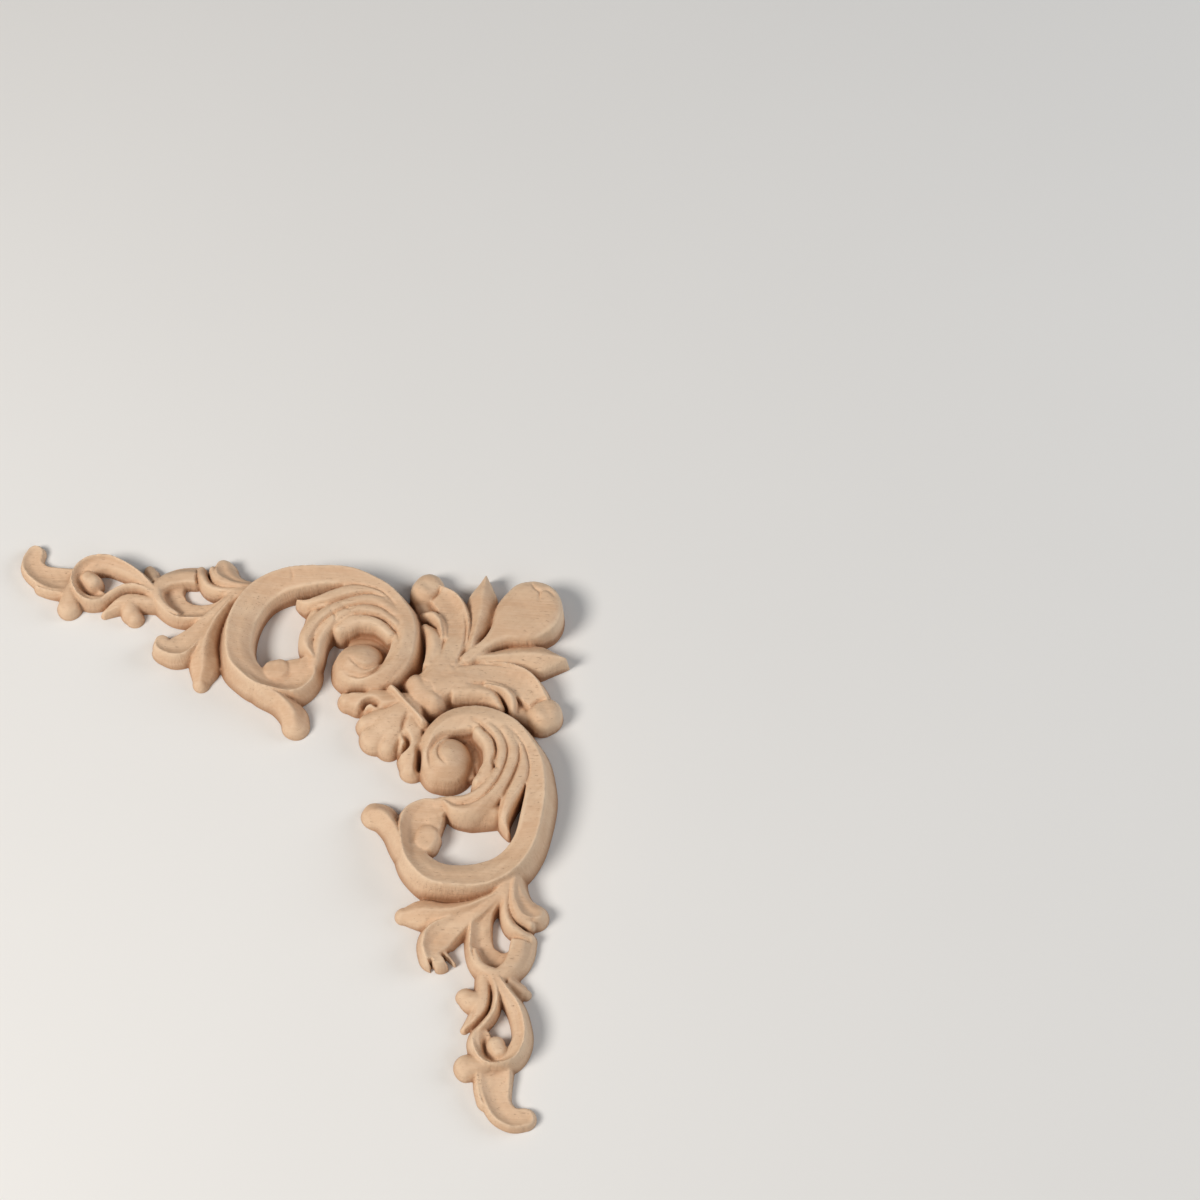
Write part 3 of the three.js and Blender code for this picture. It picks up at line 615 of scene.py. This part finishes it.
def wander(x, y, seed):
    """Slow, smooth waves between -1 and 1, so that no carved line is perfectly true."""
    return (
        np.sin(x * 0.21 + seed) * np.cos(y * 0.17 - 1.7 * seed)
        + 0.6 * np.sin(x * 0.47 - y * 0.39 + 2.3 * seed)
    ) / 1.6


def surface_mesh(axis, height):
    """Vertices and faces of the carved surface, cut off where it meets the back."""
    inside = height > 0
    number = np.full(height.shape, -1)
    number[inside] = np.arange(inside.sum())
    column, row = np.nonzero(inside)
    points = [np.column_stack([axis[column], axis[row], height[inside]])]
    total = int(inside.sum())
    corner = [inside[:-1, :-1], inside[1:, :-1], inside[1:, 1:], inside[:-1, 1:]]
    filled = corner[0] & corner[1] & corner[2] & corner[3]
    a, b, c, d = (number[:-1, :-1], number[1:, :-1], number[1:, 1:], number[:-1, 1:])
    fall = np.abs(height[:-1, :-1] - height[1:, 1:]) < np.abs(height[1:, :-1] - height[:-1, 1:])
    first, second = filled & fall, filled & ~fall
    faces = [
        np.column_stack([a[first], b[first], c[first]]),
        np.column_stack([a[first], c[first], d[first]]),
        np.column_stack([a[second], b[second], d[second]]),
        np.column_stack([b[second], c[second], d[second]]),
    ]
    rim, rim_points, rim_faces = {}, [], []
    partial = (corner[0] | corner[1] | corner[2] | corner[3]) & ~filled

    def crossing(p, q):
        key = (min(p, q), max(p, q))
        if key not in rim:
            hp, hq = height[p], height[q]
            t = hp / (hp - hq)
            rim[key] = total + len(rim_points)
            rim_points.append((
                axis[p[0]] + (axis[q[0]] - axis[p[0]]) * t,
                axis[p[1]] + (axis[q[1]] - axis[p[1]]) * t,
                0.0,
            ))
        return rim[key]

    for i, j in np.argwhere(partial):
        corners = [(i, j), (i + 1, j), (i + 1, j + 1), (i, j + 1)]
        outline = []
        for p, q in zip(corners, corners[1:] + corners[:1]):
            if inside[p]:
                outline.append(number[p])
            if inside[p] != inside[q]:
                outline.append(crossing(p, q))
        rim_faces.extend((outline[0], outline[k], outline[k + 1]) for k in range(1, len(outline) - 1))
    points.append(np.array(rim_points))
    faces.append(np.array(rim_faces))
    return np.vstack(points), np.vstack(faces).astype(int)


def cavity_at(axis, height, points):
    """How each point lies to its surroundings: -1 on sharp crests and 1 in deep recesses."""
    solid = np.maximum(height, 0)
    near = blurred(solid, 3) - solid
    wide = blurred(solid, 9) - solid
    depth = np.clip(near / 2.4, 0, 1) * 0.6 + np.clip(wide / 4.5, 0, 1) * 0.7
    i = np.clip(np.round((points[:, 0] - axis[0]) / GRID).astype(int), 0, len(axis) - 1)
    j = np.clip(np.round((points[:, 1] - axis[0]) / GRID).astype(int), 0, len(axis) - 1)
    crest = np.clip(-near / 1.4, 0, 1)
    return np.clip(depth - crest, -1, 1)[i, j]


def make_carving():
    """The carved piece: its relief, its walls and its flat back, as one closed mesh."""
    axis, height = relief()
    points, faces = surface_mesh(axis, height)
    cavity = cavity_at(axis, height, points)
    x, y = points[:, 0].copy(), points[:, 1].copy()
    points[:, 0] += OUTLINE_WAVER * wander(x, y, 0.8)
    points[:, 1] += OUTLINE_WAVER * wander(x, y, 4.1)
    points[:, 2] *= 1 + HEIGHT_WAVER * wander(x * 2, y * 2, 2.6)
    points[:, :2] += BACK_LAND
    mesh = bpy.data.meshes.new("carved_onlay")
    mesh.from_pydata((points / MM_PER_METRE).tolist(), [], faces.tolist())
    shade = mesh.attributes.new("cavity", "FLOAT", "POINT")
    shade.data.foreach_set("value", cavity.astype(np.float32))
    work = bmesh.new()
    work.from_mesh(mesh)
    rim = [edge for edge in work.edges if edge.is_boundary]
    bmesh.ops.triangle_fill(work, edges=rim, use_beauty=False, normal=(0, 0, -1))
    bmesh.ops.recalc_face_normals(work, faces=work.faces)
    work.to_mesh(mesh)
    work.free()
    mesh.polygons.foreach_set("use_smooth", [True] * len(mesh.polygons))
    mesh.set_sharp_from_angle(angle=SHARP_EDGE)
    piece = bpy.data.objects.new("carved_onlay", mesh)
    bpy.context.collection.objects.link(piece)
    return piece


class Nodes:
    """A short way to add and join the nodes of one material."""

    def __init__(self, name):
        self.material = bpy.data.materials.new(name)
        self.material.use_nodes = True
        self.tree = self.material.node_tree
        self.shader = self.tree.nodes["Principled BSDF"]

    def add(self, kind, settings=(), **inputs):
        node = self.tree.nodes.new(kind)
        for key, value in dict(settings).items():
            setattr(node, key, value)
        for key, value in inputs.items():
            self.set(node, key.replace("_", " "), value)
        return node

    def set(self, node, key, value):
        socket = node.inputs[int(key)] if key.isdigit() else node.inputs[key]
        if isinstance(value, bpy.types.NodeSocket):
            self.tree.links.new(value, socket)
        else:
            socket.default_value = value

    def math(self, operation, first, second=0.0):
        node = self.tree.nodes.new("ShaderNodeMath")
        node.operation = operation
        self.set(node, "0", first)
        self.set(node, "1", second)
        return node.outputs[0]

    def ramp(self, value, low, high):
        node = self.add("ShaderNodeMapRange", Value=value)
        self.set(node, "From Min", low)
        self.set(node, "From Max", high)
        return node.outputs[0]

    def mix(self, share, first, second, blend="MIX"):
        node = self.tree.nodes.new("ShaderNodeMix")
        node.data_type = "RGBA"
        node.blend_type = blend
        self.set(node, "0", share)
        self.set(node, "6", first)
        self.set(node, "7", second)
        return node.outputs[2]

    def noise(self, place, scale, detail=3.0, roughness=0.55):
        return self.add(
            "ShaderNodeTexNoise", Vector=place, Scale=scale, Detail=detail, Roughness=roughness
        ).outputs["Fac"]

    def stretched(self, place, scale):
        return self.add("ShaderNodeMapping", Vector=place, Scale=scale).outputs[0]


PALE_WOOD = (0.73, 0.515, 0.34, 1)
WARM_WOOD = (0.65, 0.42, 0.26, 1)
LIGHT_STREAK = (0.81, 0.60, 0.42, 1)
CREST_WEAR_AND_PAINTED_HIGHLIGHT = (0.84, 0.64, 0.45, 1)
PORE_BROWN = (0.30, 0.15, 0.08, 1)
PAINTED_RECESS_SHADE = (0.34, 0.16, 0.075, 1)


def wood_material():
    """Bare, sanded, pale pinkish wood with short pores, fine grain and cutter marks on its walls,
    painted shade in its recesses and a lightened band on its crests that is partly sanding wear and
    partly painted highlight.
    """
    n = Nodes("bare_wood")
    place = n.add("ShaderNodeTexCoord").outputs["Object"]
    along_grain = n.stretched(place, (1.0, 9.0, 3.0))
    broad = n.noise(along_grain, 22, 4)
    fine = n.noise(n.stretched(place, (1.0, 14.0, 4.0)), 160, 4)
    colour = n.mix(n.ramp(broad, 0.35, 0.68), WARM_WOOD, PALE_WOOD)
    colour = n.mix(n.math("MULTIPLY", n.ramp(fine, 0.45, 0.75), 0.35), colour, LIGHT_STREAK)
    pore_field = n.noise(n.stretched(place, (1.0, 7.0, 7.0)), 520, 1)
    pores = n.math("MULTIPLY", n.ramp(pore_field, 0.67, 0.74), n.ramp(broad, 0.30, 0.55))
    colour = n.mix(n.math("MULTIPLY", pores, 0.50), colour, PORE_BROWN)
    cavity = n.add("ShaderNodeAttribute", {"attribute_name": "cavity"}).outputs["Fac"]
    # Painted shade: recesses, found from the cavity attribute, are darkened to brown.
    colour = n.mix(n.math("MULTIPLY", n.ramp(cavity, 0.08, 0.70), 0.92), colour, PAINTED_RECESS_SHADE)
    # Partly sanding wear and partly painted highlight: crests and rims, found from the cavity
    # attribute, are lightened.
    colour = n.mix(n.math("MULTIPLY", n.ramp(cavity, -0.15, -0.80), 0.50), colour, CREST_WEAR_AND_PAINTED_HIGHLIGHT)
    n.set(n.shader, "Base Color", colour)
    rough = n.math("MULTIPLY_ADD", fine, 0.16)
    n.set(rough.node, "2", 0.56)
    n.set(n.shader, "Roughness", rough)
    upward = n.add("ShaderNodeSeparateXYZ", Vector=n.add("ShaderNodeNewGeometry").outputs["Normal"])
    wall = n.ramp(n.math("ABSOLUTE", upward.outputs[2]), 0.6, 0.25)
    cutter = n.noise(n.stretched(place, (1.0, 1.0, 0.06)), 1500, 1)
    grain = n.math("SUBTRACT", n.math("MULTIPLY", fine, 0.5), n.math("MULTIPLY", pores, 0.6))
    marks = n.math("MULTIPLY", n.math("MULTIPLY", cutter, wall), 1.4)
    bump = n.add("ShaderNodeBump", Height=n.math("ADD", grain, marks), Strength=0.65, Distance=0.00022)
    n.set(n.shader, "Normal", bump.outputs[0])
    return n.material


def floor_material():
    """Pale, matt, faintly uneven studio board."""
    n = Nodes("pale_floor")
    place = n.add("ShaderNodeTexCoord").outputs["Object"]
    tone = n.noise(place, 6, 3)
    n.set(n.shader, "Base Color", n.mix(tone, (0.80, 0.79, 0.77, 1), (0.84, 0.83, 0.81, 1)))
    n.shader.inputs["Roughness"].default_value = 0.85
    return n.material


FLOOR_SIDE = 3.0
FLOOR_GAP = 0.00015


def make_floor():
    """A plain square floor, a hair below the back so that the two don't share a plane."""
    half = FLOOR_SIDE / 2
    mesh = bpy.data.meshes.new("floor")
    mesh.from_pydata(
        [(-half, -half, 0), (half, -half, 0), (half, half, 0), (-half, half, 0)], [], [(0, 1, 2, 3)]
    )
    floor = bpy.data.objects.new("floor", mesh)
    floor.location.z = -FLOOR_GAP
    mesh.materials.append(floor_material())
    bpy.context.collection.objects.link(floor)


def area_light(name, place, aim, size, power, colour):
    """A round soft light at place, turned towards aim."""
    data = bpy.data.lights.new(name, "AREA")
    data.shape = "DISK"
    data.size = size
    data.energy = power
    data.color = colour
    light = bpy.data.objects.new(name, data)
    light.matrix_world = looking(place, aim)
    bpy.context.collection.objects.link(light)


def looking(place, aim):
    """A pose at place with its -Z towards aim."""
    back = (Vector(place) - Vector(aim)).normalized()
    return Matrix.Translation(place) @ back.to_track_quat("Z", "Y").to_matrix().to_4x4()


def make_lights():
    """A dim cool surround, a warm key from the left, a front fill and a cool light from the right."""
    world = bpy.data.worlds.new("studio")
    bpy.context.scene.world = world
    world.use_nodes = True
    world.node_tree.nodes["Background"].inputs["Color"].default_value = (0.90, 0.94, 1.0, 1)
    world.node_tree.nodes["Background"].inputs["Strength"].default_value = 0.16
    centre = (-0.03, -0.03, 0)
    area_light("key", (-0.65, -0.40, 0.80), centre, 0.42, 9.8, (1.0, 0.95, 0.89))
    area_light("fill", (0.6, -0.7, 0.9), centre, 0.9, 1.8, (1.0, 0.97, 0.94))
    area_light("side", (0.95, 0.30, 0.50), centre, 0.6, 4.2, (0.90, 0.95, 1.0))
    bpy.context.scene.view_settings.view_transform = "Standard"


# The camera as worked out from the photograph, in metres and in the frame.
CAMERA_PLACE = (0.04443, -0.27664, 0.59203)
CAMERA_RIGHT = (0.99735, 0.06899, 0.02331)
CAMERA_UP = (-0.07201, 0.88663, 0.45686)
CAMERA_BACK = (0.01085, -0.45732, 0.88924)
CAMERA_LENS = 74.64


def make_camera():
    """The camera at the photograph's own place and angle."""
    data = bpy.data.cameras.new("camera")
    data.sensor_fit = "HORIZONTAL"
    data.sensor_width = 36.0
    data.lens = CAMERA_LENS
    data.clip_start = 0.01
    camera = bpy.data.objects.new("camera", data)
    turn = Matrix([CAMERA_RIGHT, CAMERA_UP, CAMERA_BACK]).transposed().to_4x4()
    camera.matrix_world = Matrix.Translation(CAMERA_PLACE) @ turn
    bpy.context.collection.objects.link(camera)
    bpy.context.scene.camera = camera


make_camera()
make_floor()
make_lights()
carving = make_carving()
carving.data.materials.append(wood_material())
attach(carving, "root")
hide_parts("corner_onlay")
